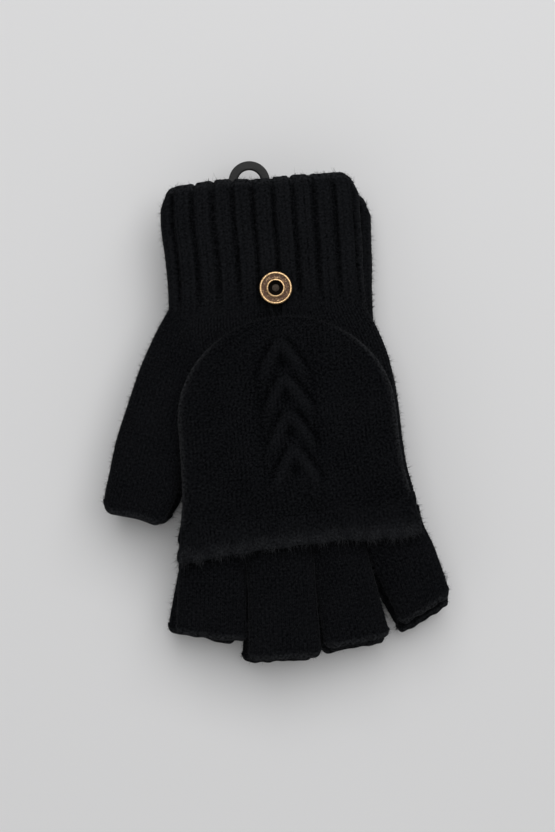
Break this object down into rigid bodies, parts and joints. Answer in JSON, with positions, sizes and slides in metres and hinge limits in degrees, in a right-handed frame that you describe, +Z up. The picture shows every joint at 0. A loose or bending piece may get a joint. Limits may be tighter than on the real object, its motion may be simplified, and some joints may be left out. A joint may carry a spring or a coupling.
{
  "type": "convertible flip-top mittens",
  "caption": "Pair of knitted half-finger gloves lying palm to palm, each with a mitten flap folded back against a cuff button, and a moulded hanger between the cuffs.",
  "frame": {"origin": "on the table, under the middle of the pair's bounding box", "axes": "+Z up off the table through the stack, +Y from the fingertips to the cuffs, +X from the thumbs to the little fingers"},
  "size_m": [0.1503, 0.226, 0.0362],
  "materials": {
    "jersey_knit": "soft matt plain knit with a light fuzz",
    "rib_knit": "soft matt rib knit with a light fuzz",
    "linking_yarn": "matt spun yarn",
    "elastic_cord": "matt braided elastic",
    "antique_brass": "worn satin rims over a dark patina",
    "tack_metal": "dull",
    "hanger_plastic": "moulded satin",
    "pin_nylon": "moulded satin"
  },
  "bodies": {
    "right_glove": {"right_rib_cuff": "rib_knit", "right_hand": "jersey_knit", "right_thumb": "jersey_knit", "right_index_finger": "jersey_knit", "right_middle_finger": "jersey_knit", "right_ring_finger": "jersey_knit", "right_little_finger": "jersey_knit", "right_flap_seam": "linking_yarn", "right_button_cap": "antique_brass", "right_button_tack": "tack_metal", "tag_pin": "pin_nylon"},
    "right_flap": {"right_flap_back_layer": "jersey_knit", "right_button_loop": "elastic_cord"},
    "right_flap_pocket": {"right_flap_palm_layer": "jersey_knit", "right_flap_welt": "rib_knit"},
    "left_glove": {"left_rib_cuff": "rib_knit", "left_hand": "jersey_knit", "left_thumb": "jersey_knit", "left_index_finger": "jersey_knit", "left_middle_finger": "jersey_knit", "left_ring_finger": "jersey_knit", "left_little_finger": "jersey_knit", "left_flap_seam": "linking_yarn", "left_button_cap": "antique_brass", "left_button_tack": "tack_metal"},
    "left_flap": {"left_flap_back_layer": "jersey_knit", "left_button_loop": "elastic_cord"},
    "left_flap_pocket": {"left_flap_palm_layer": "jersey_knit", "left_flap_welt": "rib_knit"},
    "hanger": {"hanger_hook": "hanger_plastic"}
  },
  "joints": [
    {"name": "left_flap_flip", "type": "hinge", "parent": "left_glove", "child": "left_flap", "pos_m": [0.00872, -0.05287, 0.0322], "axis": [1, 0, 0], "range_deg": [0, 180], "deforming": ["left_flap_palm_layer", "left_flap_welt", "left_button_loop"]},
    {"name": "left_pocket_open", "type": "slide", "parent": "left_flap", "child": "left_flap_pocket", "axis": [0, 0, 1], "range_m": [0, 0.0092], "deforming": ["left_flap_palm_layer", "left_flap_welt"]},
    {"name": "right_flap_flip", "type": "hinge", "parent": "right_glove", "child": "right_flap", "pos_m": [0.00801, -0.05999, 0.004], "axis": [-0.9991, 0.0419, 0], "range_deg": [0, 180], "deforming": ["right_flap_palm_layer", "right_flap_welt", "right_button_loop"]},
    {"name": "right_pocket_open", "type": "slide", "parent": "right_flap", "child": "right_flap_pocket", "axis": [0, 0, -1], "range_m": [0, 0.0092], "deforming": ["right_flap_palm_layer", "right_flap_welt"]},
    {"name": "pair_swivel", "type": "hinge", "parent": "right_glove", "child": "left_glove", "pos_m": [0.00112, 0.09013, 0.0181], "axis": [0, 0, 1], "range_deg": [-45, 45]},
    {"name": "hanger_swivel", "type": "hinge", "parent": "right_glove", "child": "hanger", "pos_m": [0.00112, 0.09013, 0.0181], "axis": [0, 0, 1], "range_deg": [-30, 30]}
  ],
  "couplings": [
    {"joint": "left_pocket_open", "follows": "left_flap_flip", "m_per_rad": 0.002928},
    {"joint": "right_pocket_open", "follows": "right_flap_flip", "m_per_rad": 0.002928}
  ]
}
